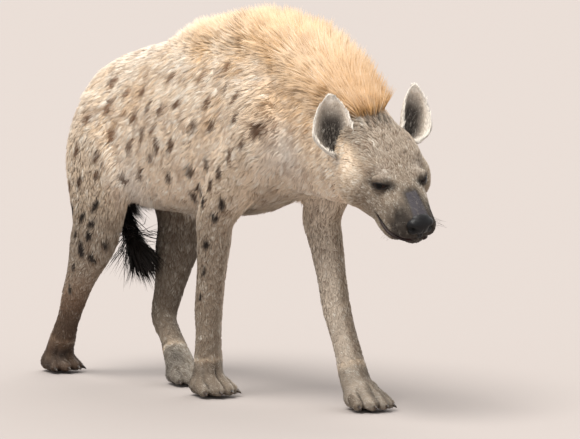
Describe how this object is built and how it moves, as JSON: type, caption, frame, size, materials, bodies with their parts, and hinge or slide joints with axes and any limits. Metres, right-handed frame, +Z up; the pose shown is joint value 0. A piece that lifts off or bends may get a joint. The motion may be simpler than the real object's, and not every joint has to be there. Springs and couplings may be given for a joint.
{
  "type": "spotted hyena model",
  "caption": "Still life-size spotted hyena, walking with its head held low, ears up and the mane raised along neck and back.",
  "frame": {"origin": "middle of the bounding box on the floor, under the belly", "axes": "+X from the rump to the nose, +Y to the animal's left, +Z up"},
  "size_m": [1.2976, 0.3042, 0.8481],
  "materials": {
    "body_coat": "short sandy fur with dark spots",
    "mane": "long upright golden hair",
    "face": "very short grey-brown fur, bare dark nose",
    "ear": "short pale grey fur",
    "eye": "wet gloss",
    "leg_coat": "short fur with dark spots",
    "paw": "short brown fur, dark claws",
    "tail_brush": "long black hair"
  },
  "bodies": {
    "root": {"torso": "body_coat", "neck": "mane", "head": "face", "ear_right": "ear", "ear_left": "ear", "eye_right": "eye", "eye_left": "eye", "fore_leg_right": "leg_coat", "fore_leg_left": "leg_coat", "hind_leg_right": "leg_coat", "hind_leg_left": "leg_coat", "fore_paw_right": "paw", "fore_paw_left": "paw", "hind_paw_right": "paw", "hind_paw_left": "paw", "tail": "tail_brush"}
  },
  "joints": []
}
